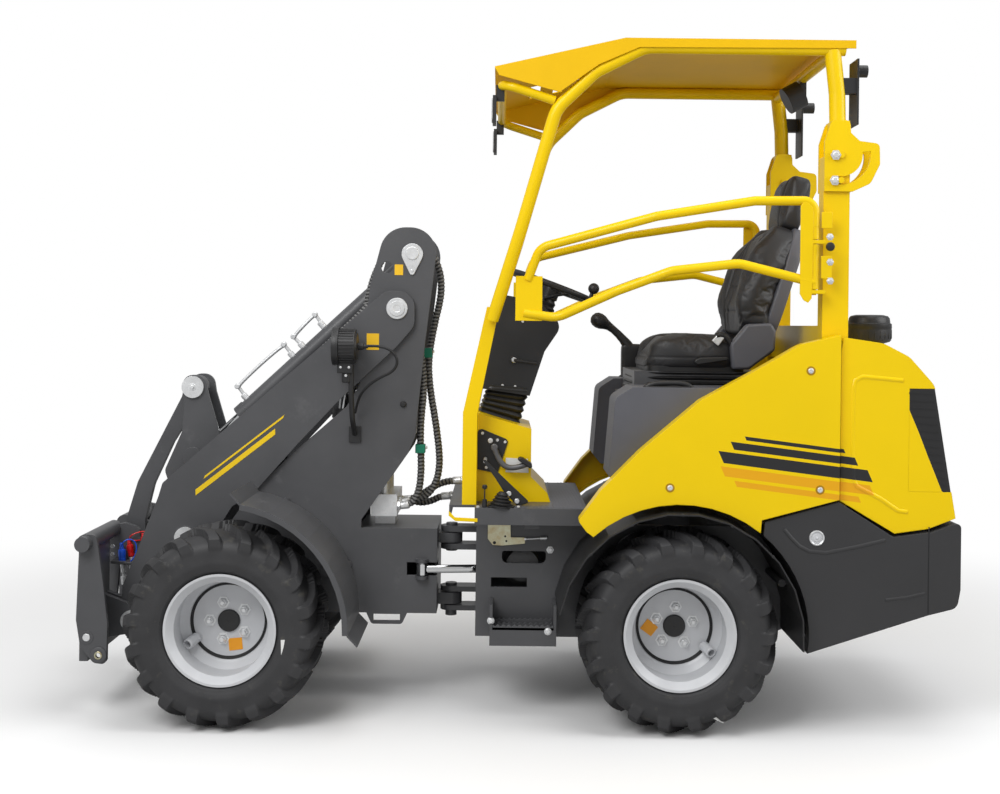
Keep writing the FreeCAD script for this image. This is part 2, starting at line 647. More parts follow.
def link():
    """The bent link bar from the rocker's top to the coupler, with its pin."""
    outline = [("rocker_top", -38, 38), ("rocker_top", 38, 38), ("rocker_top", 53, -37),
               ("coupler_eye", -5, 187), ("coupler_eye", 32, 62), ("coupler_eye", 33, -33),
               ("coupler_eye", -33, -33), ("coupler_eye", -33, 55), ("coupler_eye", -62, 178),
               ("rocker_top", 81, -199), ("rocker_top", -38, -6)]
    bar = plate("link_bar", outline, -size("link_half"), "link_half",
                holes=[(("rocker_top", 0, 0), size("pin_radius") + "pin_play")],
                rounds=[(0, 36), (1, 36), (3, 90), (5, 31), (6, 31), (7, 60), (8, 90)])
    ear_in = size("rocker_half") + 2
    stub = round_y("link_stub", PLACES["coupler_eye"], -ear_in + 1, ear_in - 1, 18)
    keep("link_bar", weld("link_bar_solid", bar, stub))
    outer = size("rocker_half") + "rocker_wall"
    keep("link_pin", weld(
        "link_pin", round_y("link_pin_bar", PLACES["rocker_top"], -outer - 10, outer + 10, "pin_radius"),
        round_y("link_pin_cap_left", PLACES["rocker_top"], outer + 0.5, outer + 10, 38),
        round_y("link_pin_cap_right", PLACES["rocker_top"], -outer - 10, -outer - 0.5, 38)))


def coupler():
    """The tool carrier: side plates, the split top tube, the foot bar and the pivot ears."""
    outer = size("coupler_half")
    inner = outer - "coupler_wall"
    foot_fit = size("pin_radius") + "pin_play"
    outline = [("coupler_pin", 68, 318), ("coupler_pin", 122, 318), ("coupler_pin", 131, 40),
               ("coupler_pin", 116, -50), ("coupler_pin", 72, -100), ("coupler_pin", 30, -104),
               ("coupler_pin", 29, 30), ("coupler_pin", 44, 160)]
    side = plate("coupler_side", outline, inner, outer,
                 holes=[(("coupler_pin", 96, -17), 13), (("coupler_pin", 56, -74), 13)],
                 rounds=[(0, 20), (1, 20), (3, 24), (4, 22), (5, 16)])
    tube_at = (PLACES["coupler_pin"][0] + 104, PLACES["coupler_pin"][1] + 290)
    ear_in = size("rocker_half") + 2
    tube = round_y("coupler_tube", tube_at, ear_in, outer, "coupler_tube_radius")
    hook = round_y("coupler_hook", tube_at, outer - 2, outer + 34, "coupler_hook_radius")
    face = PLACES["coupler_pin"][0] + 96
    web = block("coupler_web", face, face + 12, BOOM_IN - 30, inner, PLACES["coupler_pin"][1] - 30,
                PLACES["coupler_pin"][1] + 280)
    foot = block("coupler_foot_bar", face, face + 28, -inner, inner, PLACES["coupler_pin"][1] - 98,
                 PLACES["coupler_pin"][1] - 28)
    pieces = [side, tube, hook, web]
    for i, (y0, y1) in enumerate(((BOOM_IN - 30, BOOM_IN - 5), (BOOM_OUT + 5, BOOM_OUT + 27))):
        pieces.append(plate(f"coupler_ear_{i}", [
            ("coupler_pin", -38, 38), ("coupler_pin", 97, 90), ("coupler_pin", 97, -60),
            ("coupler_pin", -38, -38)],
            y0, y1, holes=[(("coupler_pin", 0, 0), foot_fit)], rounds=[(0, 34), (3, 34)]))
    pieces.append(plate("coupler_link_ear", [
        ("coupler_eye", -34, 34), ("coupler_eye", 20, 50), ("coupler_pin", 120, 300),
        ("coupler_pin", 120, -90),
        ("coupler_pin", 97, -90), ("coupler_pin", 80, 150), ("coupler_eye", -34, -34)], ear_in, ear_in + 18,
        rounds=[(0, 30), (6, 32)]))
    left = weld("coupler_left", *pieces)
    keep("coupler", weld("coupler", left, mirrored("coupler_right", left), foot))
    at = PLACES["coupler_pin"]
    stub = weld(
        "coupler_pin_left",
        round_y("coupler_pin_bar", at, BOOM_IN - 40, BOOM_OUT + 37, "pin_radius"),
        round_y("coupler_pin_head_in", at, BOOM_IN - 40, BOOM_IN - 31, 35),
        round_y("coupler_pin_head_out", at, BOOM_OUT + 28, BOOM_OUT + 37, 35))
    keep("coupler_pin", together("coupler_pin", stub, mirrored("coupler_pin_right", stub)))


def cylinder_pair(prefix, foot, eye, barrel_radius, rod_radius, barrel_end, y=0, eye_half=30, rod_start=100):
    """A hydraulic cylinder: the barrel with its foot eye, and the rod with its own pin."""
    a = (foot[0], size(y), foot[1])
    b = (eye[0], size(y), eye[1])
    gap = span(a, b)
    foot_ring = round_y(prefix + "_foot", foot, size(y) - 22, size(y) + 22, 38)
    can = between(prefix + "_can", a, b, 30, barrel_end - 30, barrel_radius)
    gland = between(prefix + "_gland", a, b, barrel_end - 34, 34, size(barrel_radius) + 4)
    bore = round_y(prefix + "_bore", foot, size(y) - 30, size(y) + 30, size("pin_radius") + "pin_play")
    hole = between(prefix + "_hollow", a, b, 60, barrel_end, size(rod_radius) + "pin_play")
    barrel = cut(prefix + "_barrel", weld(prefix + "_barrel_solid", foot_ring, can, gland), bore, hole)
    rod = between(prefix + "_shaft", a, b, rod_start, gap - rod_start, rod_radius)
    eye_ring = round_y(prefix + "_eye", eye, size(y) - 20, size(y) + 20, 32)
    pin = round_y(prefix + "_eye_pin", eye, size(y) - eye_half, size(y) + eye_half, 18)
    return barrel, weld(prefix + "_rod", rod, eye_ring, pin)


def cylinders():
    """Tilt cylinder on the centre line and the two lift cylinders beside it."""
    barrel, rod = cylinder_pair("tilt", PLACES["tower_pin"], PLACES["rocker_eye"], "tilt_barrel_radius",
                                "tilt_rod_radius", 838, eye_half=59, rod_start=150)
    keep("tilt_barrel", barrel)
    keep("tilt_rod", rod)
    barrel, rod = cylinder_pair("lift", PLACES["lift_foot"], PLACES["lift_eye"], "lift_barrel_radius",
                                "lift_rod_radius", 555, y="lift_offset", eye_half=25)
    keep("lift_barrels", together("lift_barrels", barrel, mirrored("lift_barrel_right", barrel)))
    keep("lift_rods", together("lift_rods", rod, mirrored("lift_rod_right", rod)))


def hose(label, base_x, route):
    """A hose along its route, (x from base_x, y, z): straight runs and the largest arcs between."""
    points = [Vector(base_x + x, y, z) for x, y, z in route]
    radius = size("hose_radius").value
    print(label, "arc radii", [round(r) for r in arc_radii(points)])
    spine = doc.addObject("Part::Feature", label + "_path")
    spine.Shape = rounded_path(points, 1e6)
    ring = doc.addObject("Part::Circle", label + "_ring")
    ring.Radius = radius
    bind(ring, "Radius", "hose_radius")
    ring.Placement = Placement(points[0], Rotation(Vector(0, 0, 1), points[1] - points[0]))
    sweep = doc.addObject("Part::Sweep", label)
    sweep.Sections = [ring]
    sweep.Spine = (spine, [f"Edge{i + 1}" for i in range(len(spine.Shape.Edges))])
    sweep.Solid = True
    sweep.Frenet = False
    doc.recompute()
    expected = math.pi * radius ** 2 * spine.Shape.Length
    if abs(sweep.Shape.Volume / expected - 1) > 0.01:
        raise SystemExit(f"{label}: its volume is not its section times its length")
    keep(label, sweep)


def arc_radii(points):
    """The radius of each arc along a route of points."""
    out = []
    for before, corner, after in zip(points, points[1:], points[2:]):
        half = (before - corner).getAngle(after - corner) / 2
        out.append(0.45 * min((before - corner).Length, (after - corner).Length) * math.tan(half))
    return out


def hoses():
    """The hoses at the tower: two from the valve block to the boom, two to the rear chassis."""
    base, pivot = FRONT_X.value, PIVOT_X.value
    valve = -520
    wall = (HOSE_WALL_X - FRONT_X).value - 0.3
    tube_x = size("middle_tube_x").value
    tube_top = (size("middle_tube_z") + "middle_tube_radius").value + 0.3
    hose("tower_hose_outer", base, [
        (valve, 62, 668), (-582, 62, 668), (-640, 64, 706), (-668, 68, 790), (-652, 72, 930),
        (-626, 74, 1070), (-620, 74, 1170), (-640, 74, 1290), (-666, 74, 1400), (-656, 74, 1490),
        (-614, 74, 1556), (-545, 72, 1586), (-477, 70, 1554), (-430, 66, 1470), (-402, 60, 1370),
        (-392, 56, 1270), (-374, 52, 1184), (-346, 50, 1152), (wall, 50, 1152)])
    hose("tower_hose_inner", base, [
        (valve, 104, 660), (-560, 104, 660), (-592, 106, 694), (-604, 111, 780), (-596, 119, 930),
        (-612, 128, 1080), (-592, 131, 1220), (-588, 132, 1322), (-556, 130, 1388), (-500, 131, 1412),
        (-444, 132, 1382), (-352, 131, 1284), (-240, 133, 1182), (-120, 131, 1056),
        (tube_x, 130, 920), (tube_x, 130, tube_top)])
    hose("frame_hose_upper", pivot, [
        (-41.7, -20, 735), (-4, -20, 735), (48, -18, 724), (98, -18, 692), (144, -20, 664),
        (base - pivot + valve, -20, 664)])
    hose("frame_hose_lower", pivot, [
        (0.3, -60, 675), (38, -60, 675), (76, -58, 656), (110, -59, 648), (146, -60, 655),
        (base - pivot + valve, -60, 655)])


# ------------------------------------------------------------------ rear chassis
def rear_frame():
    """Side plates, belly, cross walls and the two forward yokes, one weldment."""
    front = PIVOT_X - "rear_frame_front"
    low, top = size("rear_frame_low"), size("rear_frame_top")
    reach = front - PIVOT_X
    side = plate("rear_side_left", [("pivot", reach, low), ("pivot", reach, top), ("rear", -740, top),
                                    ("rear", -740, 420), ("rear", -300, low)],
                 FRAME_IN, FRAME_OUT,
                 holes=[(("rear", 0, AXLE_Z), size("axle_tube_radius") + "pin_play")], rounds=[(3,
                         40), (4, 60)])
    window = plate("rear_window", [("pivot", -178, 487), ("pivot", -178, 528), ("pivot", -326, 528),
                                   ("pivot", -326, 487)], FRAME_IN - 4, FRAME_OUT + 4, rounds=[(0,
                                           18), (1, 8), (2, 8), (3, 18)])
    slot = block("rear_slot", PIVOT_X - 263, PIVOT_X - 142, FRAME_IN - 4, FRAME_OUT + 4, 406, 438)
    side_cut = cut("rear_side_open", side, window, slot)
    belly = block("rear_belly", REAR_X - 300, front, -FRAME_IN, FRAME_IN, low, low + "plate_wall")
    wall = block("rear_bulkhead", REAR_X + 150, REAR_X + 162, -FRAME_IN, FRAME_IN, low, top)
    back = block("rear_back", REAR_X - 740, REAR_X - 728, -FRAME_IN, FRAME_IN, 420, top)
    chin = block("rear_chin", front - 12, front, -FRAME_IN, FRAME_IN, low, 400)
    brow = block("rear_brow", front - 12, front, -FRAME_IN, FRAME_IN, 505, top)
    pieces = [side_cut, mirrored("rear_side_right", side_cut), belly, wall, back, chin, brow]
    for name, z0, z1 in (("top_upper", 560, 580), ("top_lower", 498, 518), ("low_upper", 350, 368),
                         ("low_lower", 284, 302)):
        arm = block(f"yoke_{name}_arm", front, PIVOT_X, -size("yoke_radius"), "yoke_radius", z0, z1)
        eye = round_z(f"yoke_{name}_eye", PIVOT_X, 0, z0, z1, "yoke_radius")
        pieces += [arm, eye]
    pieces += [round_z("pivot_pin_upper", PIVOT_X, 0, 490, 588, "pivot_pin_radius"),
               round_z("pivot_pin_lower", PIVOT_X, 0, 262, 376, "pivot_pin_radius")]
    foot_x = PIVOT_X + "steer_foot_x"
    pieces.append(round_z("steer_foot_pin", foot_x, "steer_foot_y", low, 510, 14.6))
    pieces.append(block("rear_bridge", REAR_X + 100, REAR_X + 162, -FRAME_IN, FRAME_IN, top - 20, top))
    room = round_y("rear_case_room", (REAR_X, AXLE_Z), -FRAME_IN, FRAME_IN, size("axle_case_radius") + 4)
    keep("rear_frame", cut("rear_frame", weld("rear_weldment", *pieces), room))


def steering_cylinder():
    """The steering cylinder from the rear frame to the clevis on the front frame."""
    foot = (PIVOT_X + "steer_foot_x", size("steer_foot_y"), size("steer_z"))
    eye = (PIVOT_X + "steer_eye_x", size("steer_eye_y"), size("steer_z"))
    gap = span(foot, eye)
    ring = round_z("steer_ring", foot[0], foot[1], foot[2] - 20, foot[2] + 20, 30)
    can = between("steer_can", foot, eye, 26, 330, 27)
    bore = round_z("steer_bore", foot[0], foot[1], foot[2] - 30, foot[2] + 30, 14.65)
    hole = between("steer_hollow", foot, eye, 50, 330, 14.05)
    keep("steering_barrel", cut("steering_barrel", weld("steer_barrel_solid", ring, can), bore, hole))
    rod = between("steer_shaft", foot, eye, 170, gap - 170, 14)
    end = round_z("steer_eye", eye[0], eye[1], eye[2] - 18, eye[2] + 18, 20)
    pin = round_z("steer_eye_pin", eye[0], eye[1], eye[2] - 21, eye[2] + 21, 11)
    keep("steering_rod", weld("steering_rod", rod, end, pin))


def engine_block():
    """The engine as one plain block on the frame's side plates."""
    keep("engine_block", block("engine_block", REAR_X - 700, REAR_X - 130, -FRAME_IN, FRAME_IN, 430, 960))


def side_panels():
    """Yellow side panels, one tray each side, from the platform to the hood's seam."""
    arch = arc_points("rear", "arch_radius", 128, 48, 10)
    outline = [("rear", 296, 640), ("rear", 323, 675), ("rear", 254, 771), ("rear", 129, 899),
               ("rear", -59, 1060), ("rear", -248, 1165), ("rear", -374, 1240), ("rear", -500, 1271),
               ("rear", -500, 751), ("rear", -256, 684)] + arch
    outer = size("panel_outer")
    tray = plate("side_panel_left", outline, outer - "panel_depth", outer,
                 rounds=[(6, 120), (1, 12)])
    tray = hollow("side_panel_left", tray, outer - "panel_depth", "panel_wall")
    keep("side_panels", together("side_panels", tray, mirrored("side_panel_right", tray)))


def side_tanks():
    """Grey moulded tanks that fill the space between the seat and the side panels."""
    tank = plate("side_tank_left", [("rear", 224, 812), ("rear", 205, 1060), ("rear", 150, 1096),
                                    ("rear", -206, 1096),
                                    ("rear", -206, 1075), ("rear", 30, 960), ("rear", 190, 770)],
                 "tank_inner", size("panel_outer") - "panel_depth", rounds=[(1, 30), (6, 12)])
    keep("side_tanks", together("side_tanks", tank, mirrored("side_tank_right", tank)))


def counterweight():
    """Dark lower body: a skin and a lower mass each side of the frame, behind the wheel arch."""
    arch = arc_points("rear", "arch_radius", 188, 130, 10)
    tail = [("rear", -786, 650), ("rear", -786, 388)]
    crest = [("rear", -268, 677), ("rear", -500, 743), ("rear", -675, 634)]
    step_y = size("post_y") + "post_foot_half"
    skin = plate("weight_skin_left", arch + crest + tail, step_y, "weight_outer")
    mass = plate("weight_mass_left", arch[:9] + [("rear", -300, 600), ("rear", -400, 640)] + [
        ("rear", -675, 634)] + tail, FRAME_OUT, step_y)
    side = weld("weight_left", skin, mass)
    keep("counterweight", together("counterweight", side, mirrored("weight_right", side)))


def rear_bumper():
    """The bumper that closes the rear between both weights."""
    outline = [("rear", -786, 648), ("rear", -786, 388), ("rear", -878, 412), ("rear", -888, 470),
               ("rear", -888, 684)]
    bar = plate("rear_bumper", outline, -size("weight_outer"), "weight_outer", rounds=[(2, 30), (4, 14)])
    bulge = plate("bumper_bulge", [("rear", -880, 640), ("rear", -880, 440), ("rear", -904, 460),
                                   ("rear", -904, 620)],
                  -230, 230, rounds=[(2, 20), (3, 20)])
    keep("rear_bumper", weld("rear_bumper", bar, bulge))


def rear_fenders():
    """Black guards over the rear wheels."""
    shell = fender("rear_fender_shell", "rear", "fender_radius", 10, 186)
    stays = []
    for i, angle in enumerate((24, 156)):
        a = math.radians(angle)
        r = size("fender_radius") - "fender_wall" - 11.5
        centre = (REAR_X + r * math.cos(a), AXLE_Z + r * math.sin(a))
        stays.append(round_y(f"rear_fender_stay_{i}", centre, FRAME_OUT, size("fender_outer") - 120, 12))
    left = weld("rear_fender_left", shell, *stays)
    keep("rear_fenders", together("rear_fenders", left, mirrored("rear_fender_right", left)))


def floor_and_steps():
    """The operator's floor with its folded lip, and a hung step each side."""
    half, top = size("floor_half"), size("floor_z")
    front, rear = PIVOT_X, PIVOT_X - 456
    sheet_top = block("floor_sheet", rear, front - 86, -half, half, top - "floor_wall", top)
    nose = block("floor_nose", front - 86, front, -size(290), size(290), top - "floor_wall", top)
    lips = [block("floor_lip_left", rear, front - 86, half - "floor_wall", half, top - "floor_lip", top),
            block("floor_lip_right", rear, front - 86, -half, -(half - "floor_wall"),
                  top - "floor_lip", top),
            block("floor_lip_front", front - 8, front, -size(290), size(290), top - 30, top),
            block("floor_beam", front - 300, front - 250, -half + 20, half - 20, "rear_frame_top",
                  top - "floor_wall")]
    keep("floor_plate", weld("floor_plate", sheet_top, nose, *lips))
    tread = block("step_tread", PIVOT_X - 359, PIVOT_X - 139, FRAME_OUT, FRAME_OUT + 118, 250, 262)
    face = block("step_face", PIVOT_X - 359, PIVOT_X - 139, FRAME_OUT + 106, FRAME_OUT + 118, 236, 296)
    ends = [block(f"step_end_{i}", x, x + 10, FRAME_OUT, FRAME_OUT + 118, 250, 370)
            for i, x in enumerate((PIVOT_X - 359, PIVOT_X - 149))]
    left = weld("step_left", tread, face, *ends)
    keep("steps", together("steps", left, mirrored("step_right", left)))


def pedestal():
    """The folded yellow pedestal with the two columns that carry the canopy's front legs."""
    half, top = size("pedestal_half"), size("floor_z")
    outline = [("pivot", -42, top), ("pivot", -42, 990), ("pivot", -95, 988), ("pivot", -273, 938),
               ("pivot", -273, 776), ("pivot", -330, 720), ("pivot", -340, top)]
    box = plate("pedestal_box", outline, -half, half)
    inside = plate("pedestal_inside", [("pivot", -50, top - 5), ("pivot", -50, 940), ("pivot", -95, 938),
                                       ("pivot", -265, 890), ("pivot", -265, 780), ("pivot", -322,
                                               725), ("pivot", -330, top - 5)],
                   -(half - 8), half - 8)
    shell = cut("pedestal_shell", box, inside)
    y, w = size("column_y"), size("column_half")
    column = block("column_left", PIVOT_X - 90, PIVOT_X - 42, y - w, y + w, top, 1000)
    upper = plate("column_upper_left", [("pivot", -90, 995), ("pivot", -42, 995), ("pivot", -118,
            1350), ("pivot", -160, 1350)],
                  y - w, y + w)
    ties = [block(f"column_tie_{i}", PIVOT_X - 90, PIVOT_X - 42, half - 2, y - w, z, z + 60)
            for i, z in enumerate((700, 925))]
    left = weld("column_left_weld", column, upper, *ties)
    keep("pedestal", weld("pedestal", shell, left, mirrored("column_right_weld", left)))


def pedals():
    """Pedal plates on the pedestal's side and the foot pedal that leans on the floor."""
    half = size("pedestal_half")
    left = block("pedal_plate", PIVOT_X - 150, PIVOT_X - 62, half, half + 6, 815, 922)
    bar = between("pedal_bar", (PIVOT_X - 120, half + 14, 860), (PIVOT_X - 230, half + 14, 705), 0, 176, 12)
    link_pin = round_y("pedal_pin", (PIVOT_X - 120, size(860)), half, half + 26, 8)
    pad = between("pedal_arm", (PIVOT_X - 110, half + 14, 895), (PIVOT_X - 250, half + 14, 850), 0, 150, 9)
    keep("pedals", weld("pedals", left, bar, link_pin, pad,
                        round_y("pedal_arm_pin", (PIVOT_X - 112, size(894)), half, half + 22, 8)))


def console():
    """Bellows and the tilted console under the steering wheel."""
    bellows = plate("console_bellows", [("pivot", -104, 985.475), ("pivot", -92, 1070), ("pivot",
            -268, 1045), ("pivot", -262, 941.095)],
                    -92, 92)
    keep("console_bellows", bellows)
    shell = plate("console_shell", [("pivot", -92, 1070), ("pivot", -128, 1330), ("pivot", -150, 1400),
                                       ("pivot", -300, 1372), ("pivot", -378, 1290), ("pivot",
                                               -318, 1200), ("pivot", -268, 1045)],
                  -100, 100, rounds=[(1, 30), (4, 40), (3, 20)])
    hub = (PIVOT_X - 228 + "steer_hub_x", size(0), size("steer_hub_z"))
    lean = math.radians(size("steer_tilt").value)
    base = (hub[0] - 130 * math.sin(lean), size(0), hub[2] - 130 * math.cos(lean))
    neck = between("console_neck", base, hub, 0, 85.5, 26)
    keep("steering_console", weld("steering_console", shell, neck))


def steering_wheel():
    """The steering wheel with its hub, spokes and spinner knob, on its tilted column."""
    rim = doc.addObject("Part::Torus", "steer_rim")
    bind(rim, "Radius1", "wheel_rim_radius")
    bind(rim, "Radius2", "wheel_rim_wire")
    hub = round_z("steer_hub", 0, 0, -44, 14, 32)
    spokes = []
    for i in range(3):
        a = math.radians(90 + 120 * i)
        reach = size("wheel_rim_radius").value
        spokes.append(between(f"steer_spoke_{i}", (0, 0, 0), (reach * math.cos(a),
                reach * math.sin(a), 0), 20, reach - 20, 8))
    stem = round_z("knob_stem", -size("wheel_rim_radius") * 0.94, -size("wheel_rim_radius") * 0.34, 0, 36, 7)
    ball = doc.addObject("Part::Sphere", "knob_ball")
    ball.Radius = 20
    move(ball, -size("wheel_rim_radius") * 0.94, -size("wheel_rim_radius") * 0.34, 48)
    wheel_solid = weld("steering_wheel", rim, hub, *spokes, stem, ball)
    tilt = Rotation(Vector(0, 1, 0), size("steer_tilt").value)
    move(wheel_solid, PIVOT_X - 228 + "steer_hub_x", 0, "steer_hub_z", tilt)
    keep("steering_wheel", wheel_solid)


def seat():
    """Seat on its suspension box: the box stands on the frame between the two tanks."""
    stand = block("seat_stand", REAR_X - 330, REAR_X + 150, -190, 190, 965, 1060)
    legs = [block(f"seat_leg_{i}", REAR_X + 100, REAR_X + 150, s * 120 - 60, s * 120 + 60,
                  "rear_frame_top", 970)
            for i, s in enumerate((-1, 1))]
    box = block("seat_suspension", REAR_X - 320, REAR_X + 120, -210, 210, 1060, 1140)
    keep("seat_base", weld("seat_base", stand, box, *legs))
    half = size("seat_half")
    cushion = plate("seat_cushion", [("rear", 70, 1140), ("rear", 84, 1200), ("rear", 50, 1252),
                                     ("rear", -250, 1244),
                                     ("rear", -250, 1140)], -half, half, rounds=[(1, 30), (2, 30)])
    keep("seat_cushion", cushion)
    back = plate("seat_backrest", [("rear", -250, 1150), ("rear", -250, 1262), ("rear", -330,
            1500), ("rear", -392, 1640),
                                   ("rear", -425, 1830), ("rear", -470, 1850), ("rear", -500,
                                           1830), ("rear", -490, 1640),
                                   ("rear", -440, 1400), ("rear", -370, 1150)], -half, half,
                                   rounds=[(4, 16), (5, 16)])
    keep("seat_backrest", back)


def joystick():
    """The armrest console and its lever at the driver's right hand."""
    body = block("lever_box", REAR_X + 40, REAR_X + 120, -310, -250, 1096, 1225)
    stem = between("lever_stem", (REAR_X + 90, -270, 1220), (REAR_X + 205, -270, 1310), 0, 130, 14)
    ball = doc.addObject("Part::Sphere", "lever_grip")
    ball.Radius = 30
    move(ball, REAR_X + 205, -270, 1310)
    keep("joystick", weld("joystick", body, stem, ball))


def rear_posts():
    """The rear roll-over posts on their feet, their cross member, locking bolts and hinge pins."""
    y, w = size("post_y"), size("post_half")
    x, fold = REAR_X + "post_x", PLACES["fold"]
    foot_half = size("post_foot_half")
    post = block("post_body", x - w, x + w, y - 30, y + 30, 645, size("fold_z") - 6)
    tip = round_y("post_tip", fold, y - 30, y + 30, w - 4)
    bore = round_y("post_bore", fold, y - 60, y + 60, 12.05)
    foot = block("post_foot", x - 60, x + 60, FRAME_OUT, y + foot_half, 640, 655)
    leg = block("post_leg", x - 50, x + 50, FRAME_IN, FRAME_OUT, "rear_frame_top", 655)
    lock = round_y("post_lock", (fold[0], size("fold_z") - "lock_reach"), y - 52, y + 52, "lock_radius")
    tab = block("panel_tab", REAR_X - 500, REAR_X - 480, y + 30,
                size("panel_outer") - "panel_depth", 1000, 1040)
    tab_foot = block("panel_tab_foot", REAR_X - 500, x + w, y + 20, y + 31, 1000, 1040)
    hinge_x, hinge_y, low = REAR_X + "bar_hinge_x", size("bar_y"), size("bar_hinge_low")
    ears = [block(f"bar_ear_{i}", x + w, hinge_x + 14, y + 20, hinge_y + 14, z, z + 12)
            for i, z in enumerate((low - 14, low + 145))]
    pin = round_z("bar_pin", hinge_x, hinge_y, low - 18, low + 177, 7)
    solid = weld("post_solid", post, tip, foot, leg, lock, tab, tab_foot, *ears, pin)
    left = cut("post_left", solid, bore)
    cross = block("post_cross", x - 20, x + 30, -(y - 30), y - 30, 1180, 1300)
    keep("rear_posts", weld("rear_posts", left, mirrored("post_right", left), cross))


def side_bar(side):
    """A guard bar beside the operator: two bent tubes, a hinge tube and the latch plate."""
    hand = 1 if side == "left" else -1
    y = size("bar_y") * hand
    x, low = REAR_X + "bar_hinge_x", size("bar_hinge_low")
    inner = (size("column_y") + 70) * hand
    lower_hinge = round_z(f"bar_hinge_{side}", x, y, low, low + 143, 14)
    upper_hinge = round_z(f"bar_hinge_top_{side}", x, y, low + 159, low + 210, 14)
    upper = bent_tube(f"bar_upper_{side}", [
        (x, y, low + 200), (x, y, 1697), (x + 190, y, 1695), (x + 500, y - 20 * hand, 1644),
        (PIVOT_X - 290, inner + 20 * hand, 1545), (PIVOT_X - 252, inner, 1440)], "bar_tube_radius", 60)
    lower = bent_tube(f"bar_lower_{side}", [
        (x, y, low + 22), (x + 240, y, 1495), (x + 450, y - 20 * hand, 1470),
        (x + 620, y - 60 * hand, 1405), (PIVOT_X - 350, inner + 10 * hand, 1316),
        (PIVOT_X - 240, inner, 1330)], "bar_tube_radius", 90)
    latch = block(f"bar_latch_{side}", PIVOT_X - 300, PIVOT_X - 212, inner - 8, inner + 8, 1305, 1452)
    bore = round_z(f"bar_bore_{side}", x, y, low - 5, low + 179, 7.05)
    bar = weld(f"bar_weld_{side}", lower_hinge, upper_hinge, upper, lower, latch)
    keep(f"side_bar_{side}", cut(f"side_bar_{side}", bar, bore))


def canopy():
    """The folding canopy: side tubes, cross tubes, rear legs with slotted plates, and roof."""
    y = size("post_y")
    fold = PLACES["fold"]
    low_y = size("column_y") + "column_half" + "canopy_tube_radius" + 6
    side = bent_tube("canopy_side", [
        (PIVOT_X - 136, low_y, 1306), (PIVOT_X - 136 - 90, y - 50, 1600), (PIVOT_X - 136 - 200, y, 1990),
        (PIVOT_X - 460, y, 2110), (PIVOT_X - 620, y, "roof_z"), (fold[0] + 90, y, "roof_z"),
        (fold[0] - 20, y, "roof_z")], "canopy_tube_radius", 120)
    leg = bent_tube("canopy_leg", [(fold[0], y, fold[1] + 60), (fold[0] + 4, y, fold[1] + 200),
                                   (fold[0] + 20, y, fold[1] + 340)], 26, 60)
    cheeks = []
    for i, (y0, y1) in enumerate(((y - 42, y - 32), (y + 32, y + 42))):
        cheeks.append(plate(f"fold_plate_{i}", [
            ("fold", -30, 110), ("fold", 30, 110), ("fold", 52, 40), ("fold", 52, -118), ("fold", -40, -118),
            ("fold", -96, -92), ("fold", -126, -30), ("fold", -124, 36), ("fold", -60, 44),
            ("fold", -32, 70)], y0, y1,
            rounds=[(0, 18), (1, 18), (5, 30), (6, 20), (7, 16)]))
    bolt = round_y("fold_bolt", fold, y - 50, y + 50, 12)
    bridge = block("fold_bridge", fold[0] - 28, fold[0] + 28, y - 42, y + 42, fold[1] + 62, fold[1] + 108)
    left = weld("canopy_left", side, leg, *cheeks, bolt, bridge)
    cutter = [plate(f"fold_slot_{i}", slot_outline(), y0, y1) for i, (y0, y1) in
              enumerate(((y - 46, y - 31), (y + 31, y + 46)))]
    left = cut("canopy_left_slotted", left, *cutter)
    cross = [round_y("canopy_cross_rear", (fold[0] + 20, fold[1] + 330), -y, y, 20),
             round_y("canopy_cross_front", (PIVOT_X - 336, size(1990)), -y, y, 16)]
    visor = bent_tube("canopy_visor", [(PIVOT_X - 332, y, 2016), (PIVOT_X - 160, y, 2070),
                                       (PIVOT_X - 160, -y, 2070),
                                       (PIVOT_X - 332, -y, 2016)], 15, 50)
    frame = weld("canopy_frame", left, mirrored("canopy_right", left), *cross, visor)
    keep("canopy_frame", frame)
    return frame


def slot_outline():
    """The arc slot about the fold bolt in which the locking bolt travels."""
    reach, half = size("lock_reach"), size("lock_radius") + 2.5
    out = []
    for r, angles in ((reach + half, range(-79, -190, -9)), (reach - half, range(-187, -70, 9))):
        for a in angles:
            out.append(("fold", r * math.cos(math.radians(a)), r * math.sin(math.radians(a))))
    return out


def roof():
    """The roof sheet with its sloping front, ventilation slots and turned-down edges."""
    y = size("post_y") + "canopy_tube_radius" + 1
    wall = size("roof_wall")
    rise = size("roof_z") + "canopy_tube_radius"
    outline = [("canopy", -50, rise + wall), ("pivot", -555, rise + wall), ("pivot", -136, 2116 + wall),
               ("pivot", -136, 2116), ("pivot", -555, rise), ("canopy", -50, rise)]
    top = plate("roof_sheet", outline, -y, y)
    slots = []
    for i in range(3):
        x = PIVOT_X - 300 - 85 * i
        slots += [block(f"roof_slot_{i}_{j}", x, x + 36, y0, y0 + 240, 2080, 2240) for j,
                  y0 in enumerate((-300, 60))]
    sheet_cut = cut("roof_cut", top, *slots)
    cheek = plate("roof_cheek", [
        ("pivot", -136, 2116), ("pivot", -555, rise), ("canopy", -50, rise), ("canopy", -50, rise - 22),
        ("pivot", -600, rise - 26), ("pivot", -470, 2130), ("pivot", -345, 2040), ("pivot", -150,
                2092)], y, y + wall)
    rim = plate("roof_rim", [("pivot", -136, 2116 + wall), ("pivot", -555, rise + wall), ("canopy",
            -50, rise + wall),
                             ("canopy", -50, rise), ("pivot", -555, rise), ("pivot", -136, 2116)],
                             y, y + wall)
    left = weld("roof_side_left", cheek, rim)
    keep("roof_panel", weld("roof_panel", sheet_cut, left, mirrored("roof_side_right", left)))


